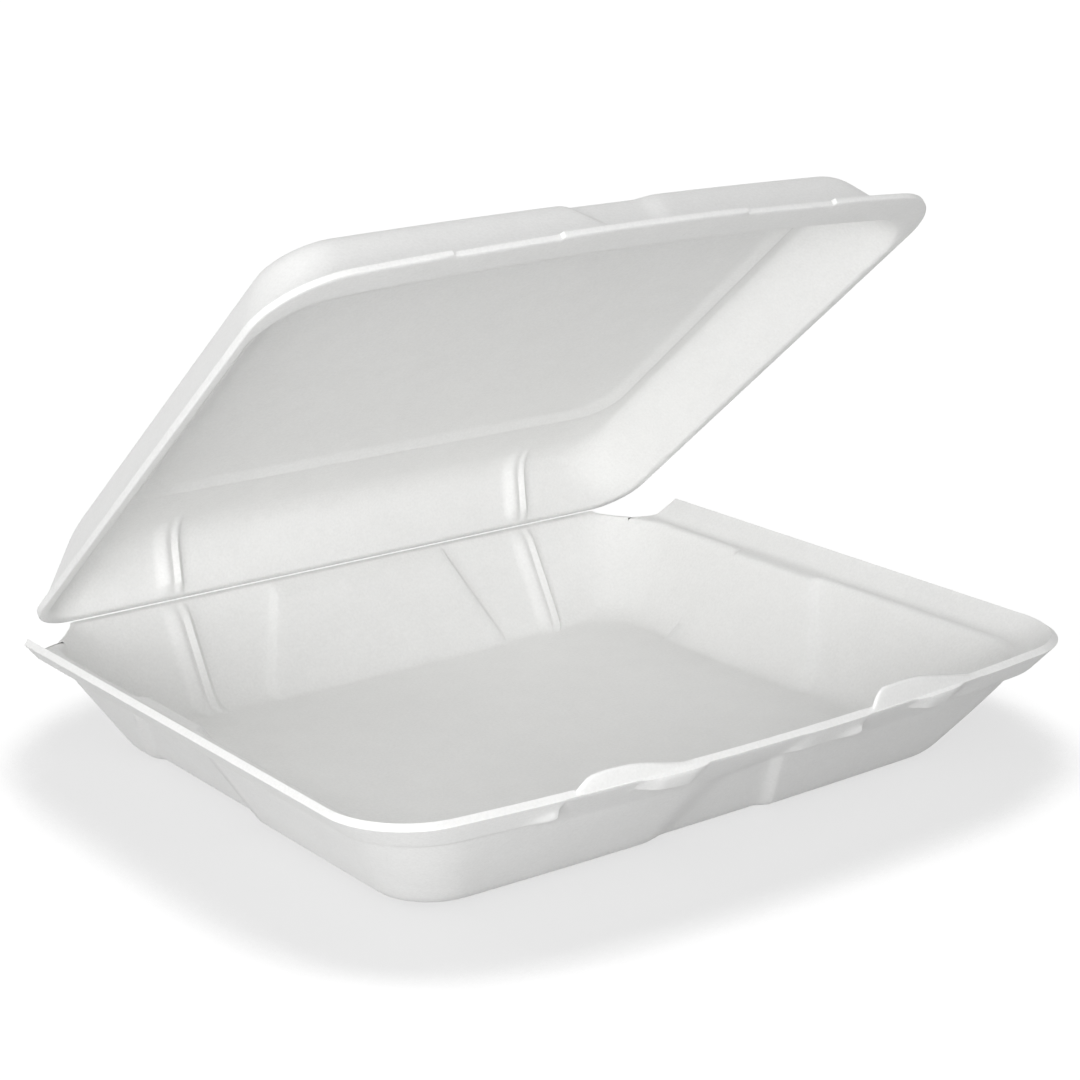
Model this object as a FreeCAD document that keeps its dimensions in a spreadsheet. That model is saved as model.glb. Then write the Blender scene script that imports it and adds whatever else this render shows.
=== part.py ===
import FreeCAD, Part
import os
import math
import Sketcher

# Foam clamshell container: a tray and a lid, thermoformed from one foam sheet and creased across the back.
# Frame: origin at the centre of the tray's underside, +Z up, -Y the front, the crease along X.

doc = FreeCAD.newDocument("FoamClamshell")
sheet = doc.addObject("Spreadsheet::Sheet", "Sizes")

sizes = {
    # foam sheet, and the clearance left at the crease
    "foamThickness": 2.5,
    "creaseGap": 0.3,
    # tray walls, outside, at the floor and at the ledge
    "floorHalfWidth": 92.5,
    "floorFront": 77.0,
    "floorBack": 75.2,
    "floorCorner": 15.5,
    "floorBow": 2400.0,
    "ledgeHeight": 30.5,
    "wallHalfWidth": 112.0,
    "wallFront": 102.6,
    "wallBack": 93.1,
    "wallCorner": 22.0,
    "wallBow": 850.0,
    # ledge, and the collar that flares up from it
    "ledgeWidth": 3.4,
    "collarRise": 6.3,
    "collarRun": 5.8,
    "collarFrontRun": 4.7,
    "collarCorner": 21.0,
    "collarBow": 830.0,
    "collarEnd": 75.2,
    "collarCutWidth": 15.0,
    "collarCutDepth": 9.0,
    # how far edges are rounded
    "floorRounding": 4.0,
    "bowlRounding": 5.0,
    "roofRounding": 5.0,
    "domeRounding": 6.0,
    # panels pressed inwards in the walls: depth, sloping end, and where the ends stand at the ledge and floor
    "panelDepth": 2.4,
    "panelRamp": 2.6,
    "softRamp": 9.5,
    "rightPanelTopFront": -2.0,
    "rightPanelTopBack": 32.5,
    "rightPanelFloorFront": -22.0,
    "rightPanelFloorBack": 45.0,
    "leftPanelTopFront": 0.0,
    "leftPanelTopBack": 28.0,
    "leftPanelFloorFront": -7.0,
    "leftPanelFloorBack": 53.0,
    "backPanelTop": 30.5,
    "backPanelFloor": 44.0,
    "frontPanelTopLeft": -1.5,
    "frontPanelTopRight": 2.5,
    "frontPanelFloorLeft": -12.0,
    "frontPanelFloorRight": 20.5,
    # ribs that stiffen the tray and the lid beside the crease
    "ribSpacing": 64.0,
    "ribHalfWidth": 4.0,
    "ribDepth": 2.4,
    "ribRamp": 1.2,
    # latch ears that stand on the front lip, and the tabs left hanging under their right halves
    "earSpacing": 48.5,
    "earThickness": 1.8,
    "earAngle": 25.0,
    "earRoot": 2.0,
    "earHeight": 6.8,
    "earPeak": 3.6,
    "earShoulderHeight": 5.4,
    "earShoulder": 14.4,
    "earTailHeight": 3.6,
    "earTail": 9.0,
    "earHalfLength": 18.0,
    "earSetback": 1.0,
    "tabHeight": 5.6,
    "tabLength": 19.0,
    "tabCorner": 3.0,
    "tabThickness": 2.0,
    # crease
    "hingeHeight": 32.0,
    "hingeDepth": 94.2,
    "hingeHalfWidth": 97.5,
    # lid, measured from the crease when it is shut, and how far it stands open
    "lidAngle": 40.0,
    "rimHalfWidth": 110.2,
    "rimFront": 197.0,
    "rimThickness": 2.2,
    "rimCorner": 22.5,
    "rimBackCorner": 14.0,
    "rimBow": 870.0,
    "flangeWidth": 9.0,
    "lidHeight": 20.0,
    "roofHalfWidth": 96.0,
    "roofFront": 178.6,
    "roofBack": 13.0,
    "roofCorner": 16.0,
    "roofBow": 1740.0,
    # the lid's bead, front panel and latch notches
    "beadHalfWidth": 87.5,
    "beadBack": 40.0,
    "beadFront": 166.0,
    "beadDepth": 1.6,
    "beadFall": 1.0,
    "beadSlope": 7.0,
    "beadCorner": 12.0,
    "lidPanelRimLeft": 1.8,
    "lidPanelRimRight": 5.0,
    "lidPanelRoofLeft": -11.0,
    "lidPanelRoofRight": 18.0,
    "notchDepth": 1.0,
    "notchSpacing": 46.5,
    "notchHalfLength": 16.0,
}
for row, (alias, number) in enumerate(sizes.items(), start=1):
    sheet.set(f"A{row}", alias)
    sheet.set(f"B{row}", str(number))
    sheet.setAlias(f"B{row}", alias)
doc.recompute()

vertical_axis, origin = range(-2, 0)   # a sketch's own vertical axis and origin
start, end, centre = range(1, 4)       # the points of a line or an arc


def plane(body, role):
    """The body's origin plane with that role."""
    return next(item for item in body.Origin.OriginFeatures if item.Role == role)


def number(expression):
    """What an expression comes to with the sheet's values."""
    return float(sheet.evalExpression(str(expression)))


def level_sketch(body, name, height):
    """A sketch that lies flat at a height above the body's origin."""
    sketch = body.newObject("Sketcher::SketchObject", name)
    sketch.AttachmentSupport = (plane(body, "XY_Plane"), "")
    sketch.MapMode = "FlatFace"
    sketch.setExpression("AttachmentOffset.Base.z", str(height))
    return sketch


def bind(sketch, kind, *where):
    """Adds a constraint whose last entry is an expression, and binds it to the sheet."""
    *points, expression = where
    index = sketch.addConstraint(Sketcher.Constraint(kind, *points, number(expression)))
    sketch.setExpression(f"Constraints[{index}]", str(expression))


def outline(body, name, height, half_width, back, front, back_corner, front_corner, bow):
    """A level outline with straight sides and back, round corners, and a front that bows outwards."""
    sketch = level_sketch(body, name, height)
    w, b, f = number(half_width), number(back), number(front)
    rb, rf, rbow = number(back_corner), number(front_corner), number(bow)
    bow_y = rbow - f
    corner_y = bow_y - math.sqrt((rbow - rf) ** 2 - (w - rf) ** 2)
    lean = math.atan2(w - rf, bow_y - corner_y)
    up, side, down = FreeCAD.Vector(0, 0, 1), math.pi, 1.5 * math.pi

    def line(x0, y0, x1, y1):
        return Part.LineSegment(FreeCAD.Vector(x0, y0, 0), FreeCAD.Vector(x1, y1, 0))

    def arc(x, y, radius, a0, a1):
        return Part.ArcOfCircle(Part.Circle(FreeCAD.Vector(x, y, 0), up, radius), a0, a1)

    sketch.addGeometry([
        line(w, corner_y, w, b - rb),
        arc(w - rb, b - rb, rb, 0, side / 2),
        line(w - rb, b, rb - w, b),
        arc(rb - w, b - rb, rb, side / 2, side),
        line(-w, b - rb, -w, corner_y),
        arc(rf - w, corner_y, rf, side, down - lean),
        arc(0, bow_y, rbow, down - lean, down + lean),
        arc(w - rf, corner_y, rf, down + lean, 2 * side),
    ])
    right, back_right, rear, back_left, left, front_left, bowed, front_right = edges = range(8)
    for edge in edges:
        sketch.addConstraint(Sketcher.Constraint("Tangent", edge, end, (edge + 1) % len(edges), start))
    sketch.addConstraint(Sketcher.Constraint("Vertical", right))
    sketch.addConstraint(Sketcher.Constraint("Vertical", left))
    sketch.addConstraint(Sketcher.Constraint("Horizontal", rear))
    sketch.addConstraint(Sketcher.Constraint("Equal", back_right, back_left))
    sketch.addConstraint(Sketcher.Constraint("Equal", front_right, front_left))
    sketch.addConstraint(Sketcher.Constraint("PointOnObject", bowed, centre, vertical_axis))
    bind(sketch, "DistanceX", origin, start, right, start, half_width)
    bind(sketch, "DistanceX", left, start, origin, start, half_width)
    bind(sketch, "DistanceY", origin, start, rear, start, back)
    bind(sketch, "Radius", back_right, back_corner)
    bind(sketch, "Radius", front_right, front_corner)
    bind(sketch, "Radius", bowed, bow)
    bind(sketch, "DistanceY", origin, start, bowed, centre, f"{bow} - ({front})")
    return sketch


def polygon(sketch, points):
    """Straight edges through corners given as pairs of expressions, each bound to the sheet."""
    flat = [FreeCAD.Vector(number(x), number(y), 0) for x, y in points]
    count = len(points)
    sketch.addGeometry([Part.LineSegment(flat[i], flat[(i + 1) % count]) for i in range(count)])
    for i in range(count):
        sketch.addConstraint(Sketcher.Constraint("Coincident", i, end, (i + 1) % count, start))
    for i, (x, y) in enumerate(points):
        bind(sketch, "DistanceX", origin, start, i, start, x)
        bind(sketch, "DistanceY", origin, start, i, start, y)
    return sketch


def loft(body, name, kind, low, high):
    """A straight-sided loft between two level sketches, added to the body or cut from it."""
    feature = body.newObject(f"PartDesign::{kind}Loft", name)
    feature.Profile = low
    feature.Sections = [high]
    feature.Ruled = True
    return feature


def round_level_edges(body, name, height, radius):
    """Rounds the edges that lie level at that height on the body as it stands."""
    doc.recompute()
    base, z = body.Tip, number(height)
    level = [f"Edge{i}" for i, edge in enumerate(base.Shape.Edges, start=1)
             if all(abs(corner.Z - z) < number("Sizes.creaseGap") / 10 for corner in edge.Vertexes)]
    fillet = body.newObject("PartDesign::Fillet", name)
    fillet.Base = (base, level)
    fillet.setExpression("Radius", radius)
    return fillet


def between(low, high, share):
    return f"(({low}) + (({high}) - ({low})) * ({share}))"


def pressed_panel(body, name, place, wall, gradient, heights, low_ends, high_ends, ramps, depth="Sizes.panelDepth",
                  inset="0"):
    """Presses part of a wall inwards: foam is added inside and taken away outside, with sloping ends.

    heights: where the inside block starts, where the outside hollow starts, where both end, and the two
    heights at which low_ends and high_ends hold. place turns (distance out, distance along) into x and y.
    """
    inside, outside, inside_end, outside_end, low, high = heights

    def section(tag, height, narrow, wide, extra, gap):
        share = f"((({height}) - ({low})) / (({high}) - ({low})))"
        first = f"({between(low_ends[0], high_ends[0], share)} + {gap})"
        last = f"({between(low_ends[1], high_ends[1], share)} - {gap})"
        spread = [f"({ramp} * (1 + ({extra}) / {depth}))" for ramp in ramps]
        return polygon(level_sketch(body, f"{name}{tag}", height), [
            place(narrow, first), place(wide, f"{first} - {spread[0]}"),
            place(wide, f"{last} + {spread[-1]}"), place(narrow, last)])

    thick = skin(gradient)
    block = [section(tag, height, f"{wall(height)} - {thick} - {depth}", f"{wall(height)} - {thick} / 2",
                     f"{thick} / 2", "0")
             for tag, height in (("InsideLow", inside), ("InsideHigh", inside_end))]
    loft(body, f"{name}Inside", "Additive", *block)
    hollow = [section(tag, height, f"{wall(height)} - {depth}", f"{wall(height)} + {foam}", foam, inset)
              for tag, height in (("OutsideLow", outside), ("OutsideHigh", outside_end))]
    loft(body, f"{name}Outside", "Subtractive", *hollow)


def slope(run, rise):
    return f"(({run}) / ({rise}))"


def skin(gradient):
    """How thick the foam is when a wall of that slope is cut level."""
    return f"(Sizes.foamThickness * sqrt(1 + {gradient}^2))"


# Tray walls: outside position at a height, for the sides, the front and the back
foam, ledge = "Sizes.foamThickness", "Sizes.ledgeHeight"
side_slope = slope("Sizes.wallHalfWidth - Sizes.floorHalfWidth", ledge)
front_slope = slope("Sizes.wallFront - Sizes.floorFront", ledge)
back_slope = slope("Sizes.wallBack - Sizes.floorBack", ledge)


def side_wall(height):
    return f"(Sizes.floorHalfWidth + {side_slope} * ({height}))"


def front_wall(height):
    return f"(Sizes.floorFront + {front_slope} * ({height}))"


def back_wall(height):
    return f"(Sizes.floorBack + {back_slope} * ({height}))"


def inner_outline(body, name, height, corner, bow):
    return outline(body, name, height,
                   f"{side_wall(height)} - {skin(side_slope)}",
                   f"{back_wall(height)} - {skin(back_slope)}",
                   f"{front_wall(height)} - {skin(front_slope)}",
                   corner, corner, bow)


def collar_section(run):
    """Distances from the ledge's outer line to the foot, the lip's lower edge and its upper edge."""
    length = f"sqrt(({run})^2 + Sizes.collarRise^2)"
    out = f"({foam} * Sizes.collarRise / {length})"
    foot = f"({out} - {foam} * (1 - ({run}) / {length}) * ({run}) / Sizes.collarRise)"
    return foot, f"(({run}) + {out})", f"({run})"


def build_tray():
    body = doc.addObject("PartDesign::Body", "BaseTray")
    body.Label = "base_tray"
    ledge_side = f"(Sizes.wallHalfWidth - {skin(side_slope)} + Sizes.ledgeWidth)"
    ledge_front = f"(Sizes.wallFront - {skin(front_slope)} + Sizes.ledgeWidth)"
    side_foot, side_edge, side_top = collar_section("Sizes.collarRun")
    front_foot, front_edge, front_top = collar_section("Sizes.collarFrontRun")
    lip = f"({ledge} + Sizes.collarRise)"
    edge_height = f"({lip} - {foam} * Sizes.collarRun / sqrt(Sizes.collarRun^2 + Sizes.collarRise^2))"
    underside = f"({ledge} - {foam})"
    behind = f"(Sizes.collarEnd + Sizes.collarCutDepth + {foam})"

    def collar_outline(name, height, side, front, corner, back=behind):
        return outline(body, name, height, f"{ledge_side} + {side}", back, f"{ledge_front} + {front}",
                       foam, corner, "Sizes.collarBow")

    # collar as a solid slab, with its rear corners cut off slantwise
    foot = collar_outline("CollarFoot", underside, side_foot, front_foot, "Sizes.collarCorner")
    edge = collar_outline("CollarEdge", edge_height, side_edge, front_edge, f"Sizes.collarCorner + {foam}")
    top = collar_outline("CollarTop", lip, side_top, front_top, f"Sizes.collarCorner + {foam}")
    edge_again = collar_outline("CollarEdgeAgain", edge_height, side_edge, front_edge,
                                f"Sizes.collarCorner + {foam}")
    loft(body, "Collar", "Additive", foot, edge)
    loft(body, "CollarLip", "Additive", edge_again, top)
    for sign, name in ((1, "Right"), (-1, "Left")):
        sketch = level_sketch(body, f"CollarEnd{name}", f"{underside}")
        lip_side = f"({ledge_side} + {side_edge})"
        inner = f"({lip_side} - Sizes.collarCutWidth)"
        polygon(sketch, [(f"{sign} * ({lip_side} + {foam})", "Sizes.collarEnd"),
                         (f"{sign} * {lip_side}", "Sizes.collarEnd"),
                         (f"{sign} * {inner}", "Sizes.collarEnd + Sizes.collarCutDepth"),
                         (f"{sign} * {inner}", f"{behind} + {foam}"),
                         (f"{sign} * ({lip_side} + {foam})", f"{behind} + {foam}")])
        cut = body.newObject("PartDesign::Pocket", f"CollarEndCut{name}")
        cut.Profile = sketch
        cut.Reversed = True
        cut.setExpression("Length", f"Sizes.collarRise + 2 * {foam}")

    # walls as a solid block
    floor = outline(body, "FloorOutline", "0", "Sizes.floorHalfWidth", "Sizes.floorBack", "Sizes.floorFront",
                    "Sizes.floorCorner", "Sizes.floorCorner", "Sizes.floorBow")
    wall = outline(body, "WallOutline", ledge, "Sizes.wallHalfWidth", "Sizes.wallBack", "Sizes.wallFront",
                   "Sizes.wallCorner", "Sizes.wallCorner", "Sizes.wallBow")
    loft(body, "Walls", "Additive", floor, wall)

    round_level_edges(body, "FloorRounding", "0", "Sizes.floorRounding")

    # the hollow: first down to the ledge, then down to the floor
    hollow_low = collar_outline("CollarHollowLow", ledge, "0", "0", "Sizes.collarCorner",
                                "Sizes.hingeDepth + Sizes.ledgeWidth")
    hollow_high = collar_outline("CollarHollowHigh", lip, side_top, front_top, f"Sizes.collarCorner + {foam}",
                                 "Sizes.hingeDepth + Sizes.ledgeWidth")
    loft(body, "CollarHollow", "Subtractive", hollow_low, hollow_high)
    bowl_low = inner_outline(body, "BowlLow", foam, f"Sizes.floorCorner - {foam} / 2", "Sizes.floorBow")
    bowl_high = inner_outline(body, "BowlHigh", ledge, f"Sizes.wallCorner - {foam}", "Sizes.wallBow")
    loft(body, "Bowl", "Subtractive", bowl_low, bowl_high)
    round_level_edges(body, "BowlRounding", foam, "Sizes.bowlRounding")

    # panels in the four walls, and the two ribs beside the crease
    heights = (f"{foam} / 2", "0", ledge, underside, "0", ledge)
    pressed_panel(body, "RightPanel", lambda out, along: (out, along), side_wall, side_slope, heights,
                  ("Sizes.rightPanelFloorFront", "Sizes.rightPanelFloorBack"),
                  ("Sizes.rightPanelTopFront", "Sizes.rightPanelTopBack"), ["Sizes.panelRamp"])
    pressed_panel(body, "LeftPanel", lambda out, along: (f"-({out})", along), side_wall, side_slope, heights,
                  ("Sizes.leftPanelFloorFront", "Sizes.leftPanelFloorBack"),
                  ("Sizes.leftPanelTopFront", "Sizes.leftPanelTopBack"), ["Sizes.panelRamp"])
    pressed_panel(body, "FrontPanel", lambda out, along: (along, f"-({out})"), front_wall, front_slope, heights,
                  ("Sizes.frontPanelFloorLeft", "Sizes.frontPanelFloorRight"),
                  ("Sizes.frontPanelTopLeft", "Sizes.frontPanelTopRight"),
                  ["Sizes.softRamp", "Sizes.panelRamp"])
    pressed_panel(body, "BackPanel", lambda out, along: (along, out), back_wall, back_slope, heights,
                  ("-Sizes.backPanelFloor", "Sizes.backPanelFloor"),
                  ("-Sizes.backPanelTop", "Sizes.backPanelTop"), ["Sizes.panelRamp"])
    for sign, name in ((1, "Right"), (-1, "Left")):
        ends = [f"({sign} * Sizes.ribSpacing {side} Sizes.ribHalfWidth)" for side in "-+"]
        pressed_panel(body, f"{name}Rib", lambda out, along: (along, out), back_wall, back_slope, heights,
                      ends, ends, ["Sizes.ribRamp"], "Sizes.ribDepth", f"{foam}")

    # strip beside the crease, a little above the ledge
    strip = body.newObject("Sketcher::SketchObject", "CreaseProfile")
    strip.AttachmentSupport = (plane(body, "YZ_Plane"), "")
    strip.MapMode = "FlatFace"
    strip.setExpression("AttachmentOffset.Base.z", "-Sizes.hingeHalfWidth")
    crease_top = "(Sizes.hingeHeight - Sizes.creaseGap / 2)"
    crease_back = "(Sizes.hingeDepth - Sizes.creaseGap / 2)"
    polygon(strip, [(back_wall(underside), underside), (crease_back, crease_top),
                    (f"{crease_back} - {skin(back_slope)}", crease_top),
                    (f"{back_wall(underside)} - {skin(back_slope)}", underside)])
    pad = body.newObject("PartDesign::Pad", "CreaseStrip")
    pad.Profile = strip
    pad.setExpression("Length", "2 * Sizes.hingeHalfWidth")
    lip_front = f"({ledge_front} + {front_edge})"
    add_latch(body, "RightEar", "Sizes.earSpacing", lip_front, lip, edge_height)
    add_latch(body, "LeftEar", "-Sizes.earSpacing", lip_front, lip, edge_height)
    return body


def upright_sketch(body, name, along, out, height, turn, lean):
    """A sketch that stands across the front at a point, turned to follow the bow and leaning back."""
    sketch = body.newObject("Sketcher::SketchObject", name)
    sketch.AttachmentSupport = (plane(body, "XZ_Plane"), "")
    sketch.MapMode = "FlatFace"
    sketch.setExpression("AttachmentOffset", f"create(<<placement>>; create(<<vector>>; {along}; {height}; {out}); "
                                             f"create(<<rotation>>; 0; {turn}; -({lean})))")
    return sketch


def add_latch(body, name, middle, lip_front, lip, edge_height):
    """An ear that stands on the lip and leans inwards, with a tab under the right half of it."""
    out = f"({lip_front} - ({middle})^2 / (2 * Sizes.collarBow) - Sizes.earSetback)"
    turn = f"asin({middle} / Sizes.collarBow)"
    left, right = "-Sizes.earHalfLength", "Sizes.earHalfLength"
    ear = polygon(upright_sketch(body, f"{name}Profile", middle, out, lip, turn, "Sizes.earAngle"), [
        (left, "-Sizes.earRoot"), (right, "-Sizes.earRoot"), (right, "0"),
        ("Sizes.earTail", "Sizes.earTailHeight"), ("-Sizes.earPeak", "Sizes.earHeight"),
        ("-Sizes.earShoulder", "Sizes.earShoulderHeight"), (left, "0")])
    flap = body.newObject("PartDesign::Pad", name)
    flap.Profile = ear
    flap.Reversed = True
    flap.setExpression("Length", "Sizes.earThickness")
    tab_out = f"({out} + Sizes.earSetback / 2)"
    tab = polygon(upright_sketch(body, f"{name}TabProfile", middle, tab_out, edge_height, turn, "0"), [
        ("0", "-Sizes.tabHeight"), ("Sizes.tabLength - Sizes.tabCorner", "-Sizes.tabHeight"),
        ("Sizes.tabLength", "Sizes.tabCorner - Sizes.tabHeight"), ("Sizes.tabLength", "0"), ("0", "0")])
    hanging = body.newObject("PartDesign::Pad", f"{name}Tab")
    hanging.Profile = tab
    hanging.Reversed = True
    hanging.setExpression("Length", "Sizes.tabThickness")


def build_lid():
    body = doc.addObject("PartDesign::Body", "Lid")
    body.Label = "lid"
    seat = "(Sizes.creaseGap / 2)"
    rise = f"(Sizes.lidHeight - {seat})"
    dome_front = "(Sizes.rimFront - Sizes.flangeWidth)"
    lid_side = slope("Sizes.rimHalfWidth - Sizes.roofHalfWidth", rise)
    lid_front = slope(f"{dome_front} - Sizes.roofFront", rise)
    lid_back = slope(f"Sizes.roofBack - {seat}", rise)

    rim = outline(body, "RimOutline", seat, "Sizes.rimHalfWidth", f"-{seat}", "Sizes.rimFront",
                  "Sizes.rimBackCorner", "Sizes.rimCorner", "Sizes.rimBow")
    pad = body.newObject("PartDesign::Pad", "Rim")
    pad.Profile = rim
    pad.setExpression("Length", "Sizes.rimThickness")

    def dome_outline(name, height, inset_side, inset_front, inset_back, corner, back_corner, bow):
        gone = f"(({height}) - {seat})"
        return outline(body, name, height,
                       f"Sizes.rimHalfWidth - {lid_side} * {gone} - {inset_side}",
                       f"-{seat} - {lid_back} * {gone} - {inset_back}",
                       f"{dome_front} - {lid_front} * {gone} - {inset_front}",
                       back_corner, corner, bow)

    outer_low = dome_outline("DomeLow", seat, "0", "0", "0", "Sizes.rimCorner", "Sizes.rimBackCorner",
                             "Sizes.rimBow")
    outer_high = dome_outline("DomeHigh", "Sizes.lidHeight", "0", "0", "0", "Sizes.roofCorner",
                              "Sizes.roofCorner", "Sizes.roofBow")
    loft(body, "Dome", "Additive", outer_low, outer_high)
    round_level_edges(body, "RoofRounding", "Sizes.lidHeight", "Sizes.roofRounding")
    insets = [skin(lid_side), skin(lid_front), skin(lid_back)]
    inner_low = dome_outline("DomeHollowLow", seat, *insets, f"Sizes.rimCorner - {foam}",
                             f"Sizes.rimBackCorner - {foam}", "Sizes.rimBow")
    inner_high = dome_outline("DomeHollowHigh", f"Sizes.lidHeight - {foam}", *insets,
                              f"Sizes.roofCorner - {foam}", f"Sizes.roofCorner - {foam}", "Sizes.roofBow")
    loft(body, "DomeHollow", "Subtractive", inner_low, inner_high)
    ceiling = f"(Sizes.lidHeight - {foam})"
    round_level_edges(body, "DomeRounding", ceiling, "Sizes.domeRounding")

    # front panel and the two ribs beside the crease
    rim_top = f"({seat} + Sizes.rimThickness)"
    heights = (rim_top, rim_top, f"({ceiling} + {foam} / 2)", "Sizes.lidHeight", seat, "Sizes.lidHeight")

    def dome_front_wall(height):
        return f"({dome_front} - {lid_front} * (({height}) - {seat}))"

    def dome_back_wall(height):
        return f"(-({seat}) - {lid_back} * (({height}) - {seat}))"

    pressed_panel(body, "LidPanel", lambda out, along: (along, f"-({out})"), dome_front_wall, lid_front, heights,
                  ("Sizes.lidPanelRimLeft", "Sizes.lidPanelRimRight"),
                  ("Sizes.lidPanelRoofLeft", "Sizes.lidPanelRoofRight"), ["Sizes.panelRamp"])
    for sign, name in ((1, "Right"), (-1, "Left")):
        ends = [f"({sign} * Sizes.ribSpacing {side} Sizes.ribHalfWidth)" for side in "-+"]
        pressed_panel(body, f"Lid{name}Rib", lambda out, along: (along, out), dome_back_wall, lid_back, heights,
                      ends, ends, ["Sizes.ribRamp"], "Sizes.ribDepth", f"{foam}")

    # bead round the roof: a ridge inside and the groove over it, steep on its outer side
    def bead_outline(name, height, smaller):
        return outline(body, name, height, f"Sizes.beadHalfWidth - {smaller}", f"-Sizes.beadBack - {smaller}",
                       f"Sizes.beadFront - {smaller}", "Sizes.beadCorner", "Sizes.beadCorner", "Sizes.roofBow")

    crest, groove = f"({ceiling} - Sizes.beadDepth)", "(Sizes.lidHeight - Sizes.beadDepth)"
    step, fall = "(Sizes.beadFall + Sizes.creaseGap)", "Sizes.beadFall"
    loft(body, "BeadRidge", "Additive", bead_outline("RidgeCrest", crest, fall),
         bead_outline("RidgeRoot", ceiling, "0"))
    loft(body, "BeadRidgeInside", "Subtractive", bead_outline("RidgeInsideCrest", crest, step),
         bead_outline("RidgeInsideRoot", ceiling, "Sizes.beadSlope"))
    loft(body, "BeadGroove", "Subtractive", bead_outline("GrooveFloor", groove, fall),
         bead_outline("GrooveTop", "Sizes.lidHeight", "0"))
    loft(body, "BeadGrooveInside", "Additive", bead_outline("GrooveInsideFloor", groove, step),
         bead_outline("GrooveInsideTop", "Sizes.lidHeight", "Sizes.beadSlope"))

    # notches in the front edge, where the latch ears pass
    for sign, name in ((1, "Right"), (-1, "Left")):
        middle = f"({sign} * Sizes.notchSpacing)"
        sag = f"(({middle})^2 / (2 * Sizes.rimBow))"
        floor = f"(Sizes.rimFront - {sag} - Sizes.notchDepth)"
        ends = [f"({middle} {side} Sizes.notchHalfLength)" for side in "-+"]
        beyond = f"(Sizes.rimFront + {foam})"
        notch = polygon(level_sketch(body, f"{name}NotchOutline", seat),
                        [(ends[0], f"-{floor}"), (ends[1], f"-{floor}"), (ends[1], f"-{beyond}"),
                         (ends[0], f"-{beyond}")])
        cut = body.newObject("PartDesign::Pocket", f"{name}Notch")
        cut.Profile = notch
        cut.Reversed = True
        cut.setExpression("Length", "Sizes.rimThickness")
    body.setExpression("Placement.Base.y", "Sizes.hingeDepth")
    body.setExpression("Placement.Base.z", "Sizes.hingeHeight")
    body.Placement = FreeCAD.Placement(FreeCAD.Vector(0, number("Sizes.hingeDepth"), number("Sizes.hingeHeight")),
                                       FreeCAD.Rotation(FreeCAD.Vector(-1, 0, 0), number("Sizes.lidAngle")))
    body.setExpression("Placement.Rotation.Angle", "Sizes.lidAngle")
    return body


bodies = [build_tray(), build_lid()]
doc.recompute()
for item in doc.Objects:
    if "Invalid" in item.State or "Error" in item.State:
        raise RuntimeError(f"{item.Label} did not rebuild: {item.State}")
os.makedirs("parts", exist_ok=True)
for body in bodies:
    shape = body.Shape
    if shape.isNull() or not shape.isValid() or len(shape.Solids) != 1:
        raise RuntimeError(f"{body.Label} has no sound shape")
    shape.exportStep(os.path.join("parts", f"{body.Label}.step"))
    box = shape.BoundBox
    print(body.Label, "volume", round(shape.Volume), "mm3, x", round(box.XMin, 2), round(box.XMax, 2),
          "y", round(box.YMin, 2), round(box.YMax, 2), "z", round(box.ZMin, 2), round(box.ZMax, 2))
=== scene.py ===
import math
import bmesh
import bpy
from mathutils import Matrix, Vector


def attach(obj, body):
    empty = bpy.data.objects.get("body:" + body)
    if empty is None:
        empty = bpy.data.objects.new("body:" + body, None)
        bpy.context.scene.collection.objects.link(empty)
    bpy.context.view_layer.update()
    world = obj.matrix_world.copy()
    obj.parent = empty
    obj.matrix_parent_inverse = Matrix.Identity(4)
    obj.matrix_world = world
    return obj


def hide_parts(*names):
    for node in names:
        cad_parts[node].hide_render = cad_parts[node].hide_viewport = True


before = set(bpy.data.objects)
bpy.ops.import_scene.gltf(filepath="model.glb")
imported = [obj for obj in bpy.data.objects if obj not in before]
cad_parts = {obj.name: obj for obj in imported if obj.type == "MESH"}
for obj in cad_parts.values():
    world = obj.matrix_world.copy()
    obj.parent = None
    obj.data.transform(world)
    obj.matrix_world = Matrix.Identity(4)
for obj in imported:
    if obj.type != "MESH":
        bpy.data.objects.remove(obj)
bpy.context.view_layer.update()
mm = 0.001
print("frame loaded")


roundingLimit = 0.49   # the most that a rounding takes of a straight run
mergeDistance = 0.02   # mm, doubles closer than this are merged
levelTolerance = 0.01  # mm, how near to a level its ring's points lie
tiny = 1e-6            # keeps shares in range and lengths over zero
sharpAngle = 42.0      # degrees, folds sharper than this stay crisp


# outlines: a row is one level line round the foam, as sizes in mm
def mixRows(a, b, share):
    return {key: a[key] + (b[key] - a[key]) * share for key in a}


def smooth(share):
    share = min(max(share, 0.0), 1.0)
    return share * share * (3 - 2 * share)


def softRows(corners, spacing, steps=5):  # corners: (row, rounding); straight runs between rounded corners
    def length(a, b):
        return math.hypot(a["half"] * a["scale"] - b["half"] * b["scale"], a["z"] - b["z"]) + tiny

    def straight(a, b):
        count = max(1, round(length(a, b) / spacing))
        return [mixRows(a, b, i / count) for i in range(1, count + 1)]

    rows = [corners[0][0]]
    for before, (corner, rounding), after in zip(corners, corners[1:], corners[2:]):
        enter = mixRows(corner, before[0], min(rounding / length(corner, before[0]), roundingLimit))
        leave = mixRows(corner, after[0], min(rounding / length(corner, after[0]), roundingLimit))
        rows += straight(rows[-1], enter)
        for i in range(1, steps + 1):
            share = i / steps
            rows.append(mixRows(mixRows(enter, corner, share), mixRows(corner, leave, share), share))
    return rows + straight(rows[-1], corners[-1][0])


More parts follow.
